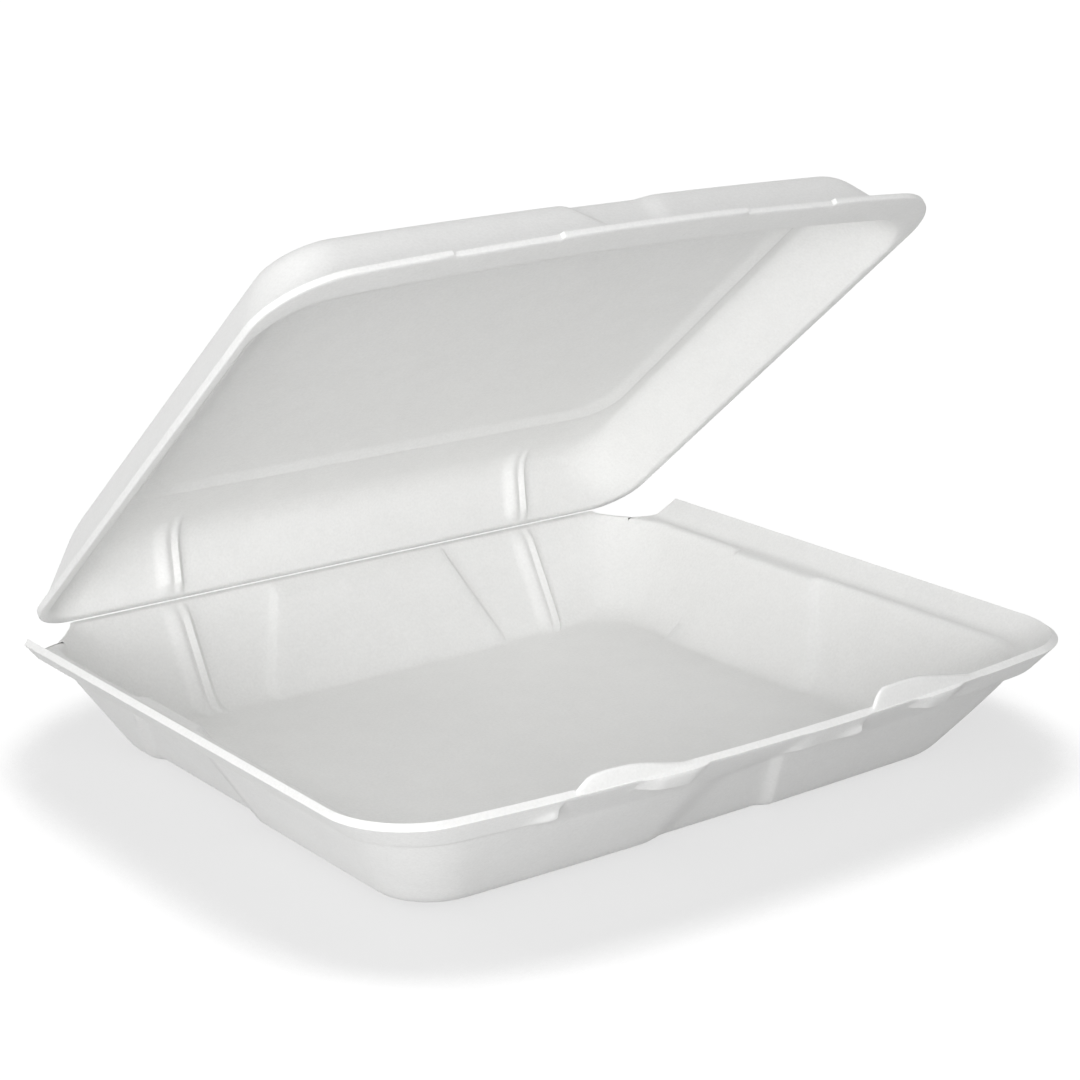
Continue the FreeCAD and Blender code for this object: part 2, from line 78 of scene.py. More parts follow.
# stations: (side, span, share of the span), counted round the foam as seen from above
def makeStations(sides, cornerSteps):
    stations = []
    for side in ("right", "backRight", "back", "backLeft", "left", "frontLeft", "front", "frontRight"):
        if side in sides:
            for span, steps in enumerate(sides[side]["steps"]):
                stations += [(side, span, i / steps) for i in range(steps)]
        else:
            stations += [(side, 0, i / cornerSteps) for i in range(cornerSteps)]
    return stations


def frontCorner(row):  # centre height of the front corners' arcs, and the angle at which the bow takes over
    bow, radius, half = row["bow"], row["frontCorner"], row["half"]
    bowY = bow - row["front"]
    centreY = bowY - math.sqrt((bow - radius) ** 2 - (half - radius) ** 2)
    return centreY, math.atan2(half - radius, bowY - centreY)


def alongSide(row, side, marks, station, level):  # where a station lies on its side, and how far it is pressed in
    centreY, turn = frontCorner(row)
    rear = row["back"] - row["backCorner"]
    edge = row["bow"] * math.sin(turn) if side == "front" else row["half"] - row["backCorner"]
    ends = {"right": (centreY, rear), "left": (rear, centreY), "back": (edge, -edge), "front": (-edge, edge)}[side]
    span, share = station[1], station[2]
    full = [(ends[0], 0.0)] + [(low + (high - low) * level, press) for low, high, press in marks]
    full.append((ends[1], 0.0))
    (a, pressA), (b, pressB) = full[span], full[span + 1]
    return a + (b - a) * share, pressA + (pressB - pressA) * smooth(share)


def outlinePoint(row, station, sides, low, high):
    side, share = station[0], station[2]
    half, back, radius = row["half"], row["back"], row["frontCorner"]
    if side in sides:
        level = min(max((row["z"] - low) / (high - low), 0.0), 1.0)
        place, press = alongSide(row, side, sides[side]["marks"], station, level)
        depth = press * sides[side]["depth"] * row["press"]
        if side == "right":
            return Vector((half - depth, place, row["z"]))
        if side == "left":
            return Vector((-half + depth, place, row["z"]))
        if side == "back":
            return Vector((place, back - depth, row["z"]))
        bow = row["bow"]
        return Vector((place, bow - row["front"] - math.sqrt(bow * bow - place * place) + depth, row["z"]))
    centreY, turn = frontCorner(row)
    if side in ("backRight", "backLeft"):
        radius = row["backCorner"]
        centre = (half - radius, back - radius) if side == "backRight" else (radius - half, back - radius)
        angle = (0.0 if side == "backRight" else math.pi / 2) + share * math.pi / 2
    else:
        sweep = math.pi / 2 - turn
        centre = (radius - half, centreY) if side == "frontLeft" else (half - radius, centreY)
        angle = (math.pi if side == "frontLeft" else 1.5 * math.pi + turn) + share * sweep
    return Vector((centre[0] + radius * math.cos(angle), centre[1] + radius * math.sin(angle), row["z"]))


# skin: a surface that grows row by row from a capped ring, each row an extrusion of the last
def startSkin(stations, place):
    skin = bmesh.new()
    number = skin.verts.layers.int.new("station")
    ring = bmesh.ops.create_circle(skin, cap_ends=True, segments=len(stations), radius=1.0)["verts"]
    for index, vert in enumerate(sorted(ring, key=lambda v: math.atan2(v.co.y, v.co.x))):
        vert[number] = index
        vert.co = place(stations[index])
    edges = [edge for edge in skin.edges if edge.is_boundary]
    return skin, edges


def growRow(skin, edges, stations, place):
    number = skin.verts.layers.int["station"]
    grown = bmesh.ops.extrude_edge_only(skin, edges=edges)["geom"]
    verts = {item for item in grown if isinstance(item, bmesh.types.BMVert)}
    for vert in verts:
        vert.co = place(stations[vert[number]])
    return [item for item in grown if isinstance(item, bmesh.types.BMEdge)
            and item.verts[0] in verts and item.verts[1] in verts]


def finishSkin(skin, name, body, node, material, turn=None):
    bmesh.ops.remove_doubles(skin, verts=skin.verts, dist=mergeDistance)
    openEdges = [edge for edge in skin.edges if edge.is_boundary]
    if openEdges:
        bmesh.ops.holes_fill(skin, edges=openEdges, sides=0)  # closes the last ring
    bmesh.ops.recalc_face_normals(skin, faces=skin.faces)
    bmesh.ops.scale(skin, vec=(mm, mm, mm), verts=skin.verts)
    if turn is not None:
        bmesh.ops.transform(skin, matrix=turn, verts=skin.verts)
    for face in skin.faces:
        face.smooth = True
    print(name, "open edges", sum(1 for edge in skin.edges if not edge.is_manifold),
          "faces", len(skin.faces), "volume mm3", round(skin.calc_volume() / mm ** 3))
    mesh = bpy.data.meshes.new(name)
    skin.to_mesh(mesh)
    skin.free()
    mesh.set_sharp_from_angle(angle=math.radians(sharpAngle))
    mesh.materials.append(material)
    piece = bpy.data.objects.new(name, mesh)
    bpy.context.scene.collection.objects.link(piece)
    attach(piece, body)
    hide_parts(node)


# materials
def hexColour(text):  # sRGB hex to linear
    def linear(value):
        return value / 12.92 if value <= 0.04045 else ((value + 0.055) / 1.055) ** 2.4
    return tuple(linear(int(text[i:i + 2], 16) / 255) for i in (1, 3, 5)) + (1.0,)


def addNode(tree, kind, settings=None, inputs=None, links=None):
    node = tree.nodes.new(kind)
    for key, value in (settings or {}).items():
        setattr(node, key, value)
    for key, value in (inputs or {}).items():
        node.inputs[key].default_value = value
    for key, source in (links or {}).items():
        tree.links.new(source, node.inputs[key])
    return node


# foamed polystyrene sheet, vacuum formed: a dull white skin with fine closed cells that show as a faint grain
foam = {
    "colour": "#F3F3F2",
    "shade": "#EAEAE9",
    "cellSize": 0.8, "cellDetail": 2.0, "cellRoughness": 0.6,            # size in mm
    "mottleSize": 9.0, "mottleDetail": 3.0, "mottleRoughness": 0.55,     # size in mm
    "mottleShare": 0.35,  # how much the mottle counts beside the cells
    "spread": 0.3,        # noise to each side of the middle that runs from shade to colour
    "cellDepth": 0.04,    # mm
    "roughness": 0.52,
    "ior": 1.46,
}


def foamMaterial():
    material = bpy.data.materials.new("foamedPolystyreneSheet")
    material.use_nodes = True
    tree = material.node_tree
    shader = tree.nodes["Principled BSDF"]
    place = addNode(tree, "ShaderNodeTexCoord")
    cells = addNode(tree, "ShaderNodeTexNoise", {"noise_dimensions": "3D"},
                    {"Scale": 1 / (foam["cellSize"] * mm), "Detail": foam["cellDetail"],
                     "Roughness": foam["cellRoughness"]},
                    {"Vector": place.outputs["Object"]})
    mottle = addNode(tree, "ShaderNodeTexNoise", {"noise_dimensions": "3D"},
                     {"Scale": 1 / (foam["mottleSize"] * mm), "Detail": foam["mottleDetail"],
                      "Roughness": foam["mottleRoughness"]},
                     {"Vector": place.outputs["Object"]})
    both = addNode(tree, "ShaderNodeMath", {"operation": "MULTIPLY_ADD"}, {1: foam["mottleShare"]},
                   {0: mottle.outputs["Fac"], 2: cells.outputs["Fac"]})
    middle = 0.5 * (1 + foam["mottleShare"])  # mean of the two noises together
    colour = addNode(tree, "ShaderNodeMapRange", None,
                     {"From Min": middle - foam["spread"], "From Max": middle + foam["spread"]},
                     {"Value": both.outputs[0]})
    blend = addNode(tree, "ShaderNodeMix", {"data_type": "RGBA"},
                    {6: hexColour(foam["shade"]), 7: hexColour(foam["colour"])}, {0: colour.outputs[0]})
    bump = addNode(tree, "ShaderNodeBump", None, {"Strength": 1.0, "Distance": foam["cellDepth"] * mm},
                   {"Height": cells.outputs["Fac"]})
    tree.links.new(blend.outputs[2], shader.inputs["Base Color"])
    tree.links.new(bump.outputs["Normal"], shader.inputs["Normal"])
    shader.inputs["Roughness"].default_value = foam["roughness"]
    shader.inputs["IOR"].default_value = foam["ior"]
    return material


foamSheet = foamMaterial()

# the tray, in mm
tray = {
    "foam": 2.5,           # thickness of the sheet
    "ledge": 30.5,         # height of the ledge that the lid rests over
    "floorHalf": 92.5, "floorFront": 77.0, "floorBack": 75.2, "floorCorner": 15.5, "floorBow": 2400.0,
    "wallHalf": 112.0, "wallFront": 102.6, "wallBack": 93.1, "wallCorner": 22.0, "wallBow": 850.0,
    "ledgeHalf": 112.43, "ledgeFront": 102.74, "collarBow": 830.0, "collarCorner": 21.0,
    "lipHeight": 36.6, "lipEdge": 35.1, "lipRun": 5.8, "lipFrontRun": 4.7, "edgeRun": 7.6, "edgeFrontRun": 6.7,
    "footRun": 1.1, "footFrontRun": 1.25, "foot": 28.0,
    "panel": 2.4, "rib": 2.4,
    "floorRings": (0.5, 0.8, 0.9),   # lines drawn smaller on the flat floor
    "floorRounding": 6.5, "footRounding": 5.0, "wallSpacing": 2.6, "wallSteps": 7,
    "ledgeInRounding": 1.2, "ledgeOutRounding": 1.6, "collarSpacing": 1.2, "collarSteps": 4,
    "edgeRounding": 0.4, "kneeRounding": 1.3, "underRounding": 1.0, "outerSpacing": 0.9,
    "stripRounding": 0.7, "stripSpacing": 1.5, "stripSteps": 3,
    "footPath": 0.6, "underPath": 0.8, "tabPath": 0.4,   # way from the lip, 0, to the wall, 1, tabs end at tabPath
    "lipStart": 0.12, "lipEnd": 0.88,   # where the lip's flat top lies between its inner and outer line
    "cornerSteps": 22,
    "collarEnd": 10 / 22,  # share of the rear corner's arc at which the collar is cut off
    "cutX": 120.07, "cutY": 75.2, "cutSlope": 0.6,
    "straightFoot": 23.0,  # height up to which all stations share their rows outside
    "topJoin": 29.0,       # inside height up to which all stations share their rows
    "creaseTop": 31.97, "creaseBack": 94.15,
    # top of the strip from the collar's cut end to the crease: share of the corner's arc, and the place
    "stripStart": (106.1, 83.2, 30.5),
    "stripPath": [(0.62, (102.0, 86.9, 30.9)), (0.74, (97.5, 92.0, 31.4)), (0.84, (96.5, 94.15, 31.97)),
                  (1.0, (90.0, 94.15, 31.97))],
    "stripSide": 0.8, "stripCut": -0.16, "stripBack": 1.16,   # sheet thicknesses from the outer to the inner line
}
# marks along each side of the tray: (place at the floor, place at the ledge, how far pressed in, 0 to 1)
traySides = {
    "right": {"depth": tray["panel"], "steps": [12, 4, 16, 3, 12],
              "marks": [(-24.6, -4.6, 0), (-21.5, -2.2, 1), (45.0, 32.5, 1), (46.4, 33.8, 0)]},
    "back": {"depth": tray["rib"], "steps": [8, 4, 3, 3, 5, 6, 4, 24, 4, 6, 4, 3, 3, 5, 8],
             "marks": [(69, 69, 0), (66.9, 66.9, 1), (65.2, 65.2, 0.5), (63.2, 63.2, 1), (59, 59, 0),
                       (48.0, 34.0, 0), (45.2, 31.8, 1), (-42.4, -29.0, 1), (-45.2, -31.4, 0),
                       (-59, -59, 0), (-61.1, -61.1, 1), (-62.8, -62.8, 0.5), (-64.8, -64.8, 1), (-69, -69, 0)]},
    "left": {"depth": tray["panel"], "steps": [12, 5, 16, 4, 16],
             "marks": [(57.0, 31.0, 0), (53.5, 28.0, 1), (-5.0, 0.5, 1), (-7.0, -1.5, 0)]},
    "front": {"depth": tray["panel"],
              "steps": [8, 6, 6, 2, 3, 8, 6, 6, 6, 5, 8, 6, 6, 5, 8, 6, 2, 3, 8, 4, 8, 6, 6, 8],
              "marks": [(-66, -77, 0), (-61, -70, 0), (-57, -67.2, 0), (-56.5, -66.6, 0), (-54, -64, 0),
                        (-46, -53, 0), (-41, -47, 0), (-36, -40, 0), (-30, -31, 0), (-25, -27, 0),
                        (-22.3, -21, 0), (-12, -2, 1), (20.5, 2.5, 1), (24, 5.5, 0),
                        (29, 20.5, 0), (33, 27.5, 0), (34, 29.2, 0), (36.5, 32.0, 0), (44, 43, 0), (47, 46, 0),
                        (55, 56, 0), (61, 64, 0), (66, 69, 0)]},
}
trayFront = {
    # left and right end, height, and the share of it along the ear
    "ears": [(-65.5, -31.0, 3.8, [(0.0, 0.0), (0.04, 0.36), (0.08, 0.68), (0.13, 0.9), (0.25, 1.0), (0.4, 1.0),
                                  (0.5, 0.93), (0.62, 0.72), (0.75, 0.42), (0.88, 0.17), (1.0, 0.0)]),
             (30.0, 69.0, 5.3, [(0.0, 0.0), (0.03, 0.5), (0.07, 0.95), (0.25, 1.0), (0.45, 0.93), (0.68, 0.55),
                                (0.92, 0.17), (1.0, 0.0)])],
    "tabs": [(-47.0, -27.0), (46.0, 64.0)],
    "tabLeft": 31.6, "tabRight": 29.0,   # height of a tab's lower edge at its two ends
    "tabCorner": 3.6, "tabProud": 3.4, "tabSwell": 0.6,
    "tabStep": 0.5, "tabStepShare": 0.3, "tabRamp": 7.0, "tabFade": 0.7,   # a step at the left end, then a ramp
    "tabGap": 0.15, "tabLead": 0.2,   # from a tab's lower edge to the rows beside it, and from its left end
    # where the wall runs straight up to the lip: fades in from a to b, and out from c to d
    "straight": [(-70.0, -67.2, 3.0, 10.0), (27.5, 29.2, 67.0, 74.0)],
    "wallHold": 4,         # power by which the straight wall closes in on the panels below it
    "bulges": [(-78.0, -70.0), (19.0, 27.5)], "bulge": 2.0, "bulgeLift": 0.5, "bulgeEnd": 2.6,
    "bulgePath": 0.55, "bulgeWidth": 0.22,   # where the bulge sits on the way from the lip to the wall
    # across the lip: share of its width, and how far the ear has risen there
    "lipRows": [(0.0, 0.0), (0.08, 0.0), (0.16, 0.5), (0.22, 0.97), (0.32, 1.0), (0.45, 1.03), (0.6, 1.02),
                (0.7, 0.97), (0.78, 0.5), (0.86, 0.0), (1.0, 0.0)],
}


def wallRow(height, inside, press=1.0):
    share = height / tray["ledge"]
    row = {"z": height, "press": press, "flare": 0.0, "strip": 0.0, "path": 1.0, "scale": 1.0}
    for key, name in (("half", "Half"), ("front", "Front"), ("back", "Back")):
        low, high = tray["floor" + name], tray["wall" + name]
        gradient = (high - low) / tray["ledge"]
        row[key] = low + gradient * height - inside * tray["foam"] * math.sqrt(1 + gradient ** 2)
    corner = tray["floorCorner"] + (tray["wallCorner"] - tray["floorCorner"]) * share
    row["frontCorner"] = row["backCorner"] = corner - inside * tray["foam"]
    row["bow"] = tray["floorBow"] + (tray["wallBow"] - tray["floorBow"]) * share
    return row


def collarRow(height, run, frontRun, path=0.0):
    return {"z": height, "press": 0.0, "flare": 1.0, "strip": 0.0, "path": path, "scale": 1.0,
            "half": tray["ledgeHalf"] + run, "front": tray["ledgeFront"] + frontRun,
            "back": tray["wallBack"], "backCorner": tray["wallCorner"],
            "frontCorner": tray["collarCorner"] + run / 3, "bow": tray["collarBow"]}


def shrunk(row, scale):  # the same line drawn smaller on the flat floor
    return {**row, "scale": scale, "press": 0.0}


def curve(points, x):  # straight pieces through points
    for (x0, y0), (x1, y1) in zip(points, points[1:]):
        if x0 <= x <= x1:
            return y0 + (y1 - y0) * (x - x0) / (x1 - x0)
    return 0.0


def isStrip(station):  # between the cut ends of the collar, round the back
    end = tray["collarEnd"]
    side, share = station[0], station[2]
    return side == "back" or (side == "backRight" and share > end) or (side == "backLeft" and share <= 1 - end)


def trayPoint(row, station):
    point = outlinePoint(row, station, traySides, 0.0, tray["ledge"])
    side, share = station[0], station[2]
    sign = 1 if side == "backRight" else -1
    if side in ("backRight", "backLeft"):
        rear = row["back"] - row["backCorner"]
        onward = share if side == "backRight" else 1 - share
        end = tray["collarEnd"]
        if row["flare"] > 0 and onward <= end + tiny:
            cut = tray["cutY"] + (tray["cutX"] - row["half"]) * tray["cutSlope"]
            straight = Vector((sign * row["half"], rear + (cut - rear) * onward / end, row["z"]))
            point = point.lerp(straight, row["flare"])
    if row["strip"] > 0 and side in ("backRight", "back", "backLeft"):
        inside = row["path"] * tray["foam"]
        if side == "back":
            top = Vector((point.x, tray["creaseBack"] - inside * tray["stripBack"], tray["creaseTop"]))
        else:
            path = [(tray["collarEnd"], tray["stripStart"])] + tray["stripPath"]
            top = Vector(tray["stripStart"])
            for (a, here), (b, there) in zip(path, path[1:]):
                if a - tiny <= onward <= b + tiny:
                    top = Vector(here).lerp(Vector(there), (onward - a) / (b - a))
            slant = smooth((onward - tray["collarEnd"]) / (1 - tray["collarEnd"]))
            inward = tray["stripCut"] + (tray["stripBack"] - tray["stripCut"]) * slant
            top.x = sign * (top.x - inside * tray["stripSide"] * (1 - slant))
            top.y -= inside * inward
        point = point.lerp(top, row["strip"])
    return Vector((point.x * row["scale"], point.y * row["scale"], point.z))


def fadeBetween(x, a, b, c, d):  # 0 up to a, 1 from b to c, 0 again from d
    return smooth((x - a) / (b - a)) * (1 - smooth((x - c) / (d - c)))


def tabAt(x):  # how proud the tab stands here, 0 to 1, and the height of its lower edge
    values = trayFront
    proud, bottom = 0.0, values["tabRight"]
    for left, right in values["tabs"]:
        if left - values["tabLead"] < x <= right:
            radius = values["tabCorner"]
            past = min(max(x - (right - radius), 0.0), radius)
            bottom = values["tabLeft"] + (values["tabRight"] - values["tabLeft"]) * (x - left) / (right - left)
            bottom += radius - math.sqrt(radius ** 2 - past ** 2)
            step, ramp = smooth((x - left) / values["tabStep"]), smooth((x - left) / values["tabRamp"])
            proud = values["tabStepShare"] * step + (1 - values["tabStepShare"]) * ramp
            proud *= 1 - past / radius * values["tabFade"]
    return proud, bottom


def frontProfile(point, row, station, index, count, split):  # under the front lip: straight wall, bulges and tabs
    values, x = trayFront, point.x
    straight = sum(fadeBetween(x, *stretch) for stretch in values["straight"])
    proud, bottom = tabAt(x)
    if straight > 0:
        edge, low, gap = tray["lipEdge"], tray["straightFoot"], values["tabGap"]
        if index <= split:
            height = edge + (bottom + gap - edge) * index / split
        else:
            height = bottom - gap + (low - bottom + gap) * (index - split - 1) / (count - split - 2)
        share = (edge - height) / (edge - low)
        lipFront, wallFront = tray["ledgeFront"] + tray["edgeFrontRun"], wallRow(low, 0)["front"]
        front = lipFront + (wallFront - lipFront) * share
        bow = tray["collarBow"] + (tray["wallBow"] - tray["collarBow"]) * share
        y = bow - front - math.sqrt(bow * bow - x * x)
        wall = trayPoint(wallRow(max(height, low), 0), station)
        y += (wall.y - y) * share ** values["wallHold"]
        point = point.lerp(Vector((x, y, height)), straight)
        if index <= split:
            point.y -= proud * values["tabProud"] * (index / split) ** values["tabSwell"]
    lump = sum(fadeBetween(x, a, b, b, b + values["bulgeEnd"]) for a, b in values["bulges"])
    lump *= math.exp(-((row["path"] - values["bulgePath"]) / values["bulgeWidth"]) ** 2)
    point.y -= lump * values["bulge"]
    point.z += lump * values["bulgeLift"]
    return point


def lipPoint(row, station, rise):  # on the lip, raised where an ear stands
    point = trayPoint(row, station)
    if station[0] == "front":
        for left, right, tall, shape in trayFront["ears"]:
            if left < point.x < right:
                point.z += tall * curve(shape, (point.x - left) / (right - left)) * rise
    return point


def trayRows():  # the rows of each stretch, from the middle of the floor inside to the middle of the underside
    joined, ledge = wallRow(tray["topJoin"], 1), tray["ledge"]
    small, middle, wide = tray["floorRings"]
    spacing, steps = tray["wallSpacing"], tray["wallSteps"]
    corner = wallRow(tray["foam"], 1)
    inside = [shrunk(corner, small), shrunk(corner, middle)]
    inside += softRows([(shrunk(corner, wide), 0), (corner, tray["floorRounding"]), (joined, 0)], spacing, steps)

    lipTop = collarRow(tray["lipHeight"], tray["lipRun"], tray["lipFrontRun"])
    lipEdge = collarRow(tray["lipEdge"], tray["edgeRun"], tray["edgeFrontRun"])
    foot = collarRow(tray["foot"], tray["footRun"], tray["footFrontRun"], tray["footPath"])
    under = {**wallRow(tray["foot"], 0), "path": tray["underPath"]}
    low = {**wallRow(tray["straightFoot"], 0), "path": 1.0}
    lipStart, lipEnd = tray["lipStart"], tray["lipEnd"]
    collarIn = softRows([(joined, 0), (wallRow(ledge, 1), tray["ledgeInRounding"]),
                         (collarRow(ledge, 0, 0), tray["ledgeOutRounding"]),
                         (mixRows(lipTop, lipEdge, lipStart), 0)], tray["collarSpacing"], tray["collarSteps"])
    lip = [mixRows(lipTop, lipEdge, lipStart + (lipEnd - lipStart) * share) for share, rise in trayFront["lipRows"]]
    collarOut = softRows([(mixRows(lipTop, lipEdge, lipEnd), 0), (lipEdge, tray["edgeRounding"]),
                          (foot, tray["kneeRounding"]), (under, tray["underRounding"]), (low, 0)],
                         tray["outerSpacing"], tray["collarSteps"])

    topIn = {**wallRow(ledge, 1, 0.0), "strip": 1.0, "path": 1.0}
    topOut = {**wallRow(ledge, 0, 0.0), "strip": 1.0, "path": 0.0}
    strip = softRows([(joined, 0), (topIn, tray["stripRounding"]), (topOut, tray["stripRounding"]), (low, 0)],
                     tray["stripSpacing"], tray["stripSteps"])

    bottom = wallRow(0, 0)
    outside = softRows([(low, 0), (bottom, tray["footRounding"]), (shrunk(bottom, wide), 0)], spacing, steps)
    outside += [shrunk(bottom, middle), shrunk(bottom, small)]
    return inside, strip, collarIn, lip, collarOut, outside


def buildTray():
    stations = makeStations(traySides, tray["cornerSteps"])
    inside, strip, collarIn, lip, collarOut, outside = trayRows()
    skin, ring = startSkin(stations, lambda station: trayPoint(inside[0], station))
    for row in inside[1:]:
        ring = growRow(skin, ring, stations, lambda station: trayPoint(row, station))
    number = skin.verts.layers.int["station"]
    count = len(stations)

    def inStrip(edge):
        a, b = sorted(vert[number] for vert in edge.verts)
        if b - a > 1:
            a, b = b, a + count
        return isStrip(stations[(a + 1) % count]) if b - a == 1 else isStrip(stations[a % count])

    stripEdges = [edge for edge in ring if inStrip(edge)]
    collarEdges = [edge for edge in ring if not inStrip(edge)]
    for row in strip[1:]:
        stripEdges = growRow(skin, stripEdges, stations, lambda station: trayPoint(row, station))
    for row in collarIn[1:]:
        collarEdges = growRow(skin, collarEdges, stations, lambda station: trayPoint(row, station))
    for row, (share, rise) in zip(lip, trayFront["lipRows"]):
        collarEdges = growRow(skin, collarEdges, stations, lambda station: lipPoint(row, station, rise))
    split = next(i for i, row in enumerate(collarOut) if row["path"] > tray["tabPath"])  # tabs above, wall below
    for index, row in enumerate(collarOut[1:], start=1):
        def place(station):
            point = trayPoint(row, station)
            if station[0] == "front":
                return frontProfile(point, row, station, index, len(collarOut), split)
            return point
        collarEdges = growRow(skin, collarEdges, stations, place)

    # the strip and the collar meet at straightFoot, and one ring goes on down from there
    meeting = list(dict.fromkeys(vert for edge in stripEdges + collarEdges for vert in edge.verts))
    bmesh.ops.remove_doubles(skin, verts=meeting, dist=mergeDistance)
    ring = [edge for edge in skin.edges if edge.is_boundary
            and all(abs(vert.co.z - tray["straightFoot"]) < levelTolerance for vert in edge.verts)]
    for row in outside[1:]:
        ring = growRow(skin, ring, stations, lambda station: trayPoint(row, station))
    finishSkin(skin, "foamTray", "tray", "base_tray", foamSheet)


buildTray()
print("tray built")

# the lid, in mm, measured from the crease while it is shut
lid = {
    "foam": 2.5, "seat": 0.04,   # the shut lid's clearance from the crease, in height and to the back
    "rimHalf": 110.2, "rimFront": 197.0, "rimCorner": 22.5, "rimBackCorner": 14.0, "rimBow": 870.0,
    "rimThickness": 2.2, "flange": 9.0,
    "wallInside": 2.6, "wallOutside": 4.6,   # height over the seat at which the walls begin
    "insideRounding": 0.6, "seatRounding": 1.0, "rimRounding": 0.5, "flangeRounding": 1.2, "outsideRounding": 0.6,
    "flangePress": 0.3,   # how much of the panels and ribs is left where the flange meets the wall
    "wallSpacing": 2.0, "wallSteps": 6, "beadSpacing": 1.2, "beadSteps": 4,
    "ceilingJoin": 0.3, "roofJoin": 0.6, "roofMargin": -1.0,   # where the bead's rows hand over to the wall's
    "height": 20.0, "roofHalf": 96.0, "roofFront": 178.6, "roofBack": 13.0, "roofCorner": 16.0, "roofBow": 1740.0,
    "panel": 2.0, "rib": 2.4,
    "roofRings": (0.4, 0.8, 0.94), "roofRounding": 6.5, "ceilingRounding": 7.0,
    "beadHalf": 87.5, "beadBack": 40.0, "beadFront": 166.0, "beadCorner": 12.0, "beadDepth": 1.6,
    "beadMargins": (6.5, 1.4, -0.6), "beadRoundings": (1.5, 0.9, 0.8),   # inner foot, crest and outer foot
    "notches": [(-62.5, -30.5), (30.5, 62.5)], "notchDepth": 1.0, "notchReach": 2.5,
    "cornerSteps": 20,
    "opening": 40.0, "creaseY": 94.2, "creaseZ": 32.0,   # degrees open from shut, and the hinge line
}
# marks along each side of the lid: (place at the rim, place at the roof, how far pressed in, 0 to 1)
lidSides = {
    "right": {"depth": 0.0, "steps": [60], "marks": []},
    "left": {"depth": 0.0, "steps": [60], "marks": []},
    "back": {"depth": lid["rib"], "steps": [8, 4, 3, 3, 5, 40, 4, 3, 3, 5, 8],
             "marks": [(69, 69, 0), (66.9, 66.9, 1), (65.2, 65.2, 0.5), (63.2, 63.2, 1), (59, 59, 0),
                       (-59, -59, 0), (-61.1, -61.1, 1), (-62.8, -62.8, 0.5), (-64.8, -64.8, 1), (-69, -69, 0)]},
    "front": {"depth": lid["panel"], "steps": [10, 1, 14, 1, 12, 4, 12, 5, 8, 1, 14, 1, 10],
              "marks": [(-63, -63, 0), (-62.2, -62, 0), (-30.8, -31, 0), (-30.2, -30, 0),
                        (0.6, -12.5, 0), (1.8, -10.9, 1), (8.9, 13.4, 1), (13.4, 20.7, 0),
                        (30.2, 30, 0), (30.8, 31, 0), (62.2, 62, 0), (63, 63, 0)]},
}


def domeRow(height, inside, press=1.0):
    rise = lid["height"] - lid["seat"]
    share = (height - lid["seat"]) / rise
    row = {"z": height, "press": press, "scale": 1.0}
    start = {"half": lid["rimHalf"], "front": lid["rimFront"] - lid["flange"], "back": -lid["seat"]}
    stop = {"half": lid["roofHalf"], "front": lid["roofFront"], "back": -lid["roofBack"]}
    for key in start:
        gradient = (start[key] - stop[key]) / rise
        row[key] = start[key] + (stop[key] - start[key]) * share - inside * lid["foam"] * math.sqrt(1 + gradient ** 2)
    for key, low in (("frontCorner", lid["rimCorner"]), ("backCorner", lid["rimBackCorner"])):
        row[key] = low + (lid["roofCorner"] - low) * share - inside * lid["foam"]
    row["bow"] = lid["rimBow"] + (lid["roofBow"] - lid["rimBow"]) * share
    return row


def rimRow(height):
    return {"z": height, "press": 0.0, "scale": 1.0,
            "half": lid["rimHalf"], "front": lid["rimFront"], "back": -lid["seat"],
            "frontCorner": lid["rimCorner"], "backCorner": lid["rimBackCorner"], "bow": lid["rimBow"]}


def beadRow(height, margin, scale=1.0):
    return {"z": height, "press": 0.0, "scale": scale,
            "half": lid["beadHalf"] - margin, "front": lid["beadFront"] - margin, "back": -lid["beadBack"] - margin,
            "frontCorner": lid["beadCorner"], "backCorner": lid["beadCorner"], "bow": lid["roofBow"]}


def beadRows(level):  # across the bead that is pressed into the roof, from the panel outwards
    (inner, crest, outer), soft = lid["beadMargins"], lid["beadRoundings"]
    return [(beadRow(level, inner, lid["roofRings"][2]), 0), (beadRow(level, inner), soft[0]),
            (beadRow(level - lid["beadDepth"], crest), soft[1]), (beadRow(level, outer), soft[2])]


def lidPoint(row, station, notch=0.0):  # rings on the roof shrink towards its middle
    point = outlinePoint(row, station, lidSides, lid["seat"], lid["height"])
    if notch and station[0] == "front":
        for left, right in lid["notches"]:
            if left <= point.x <= right:
                point.y += notch * lid["notchDepth"]
    middle = -(lid["beadFront"] + lid["beadBack"]) / 2
    return Vector((point.x * row["scale"], middle + (point.y - middle) * row["scale"], point.z))


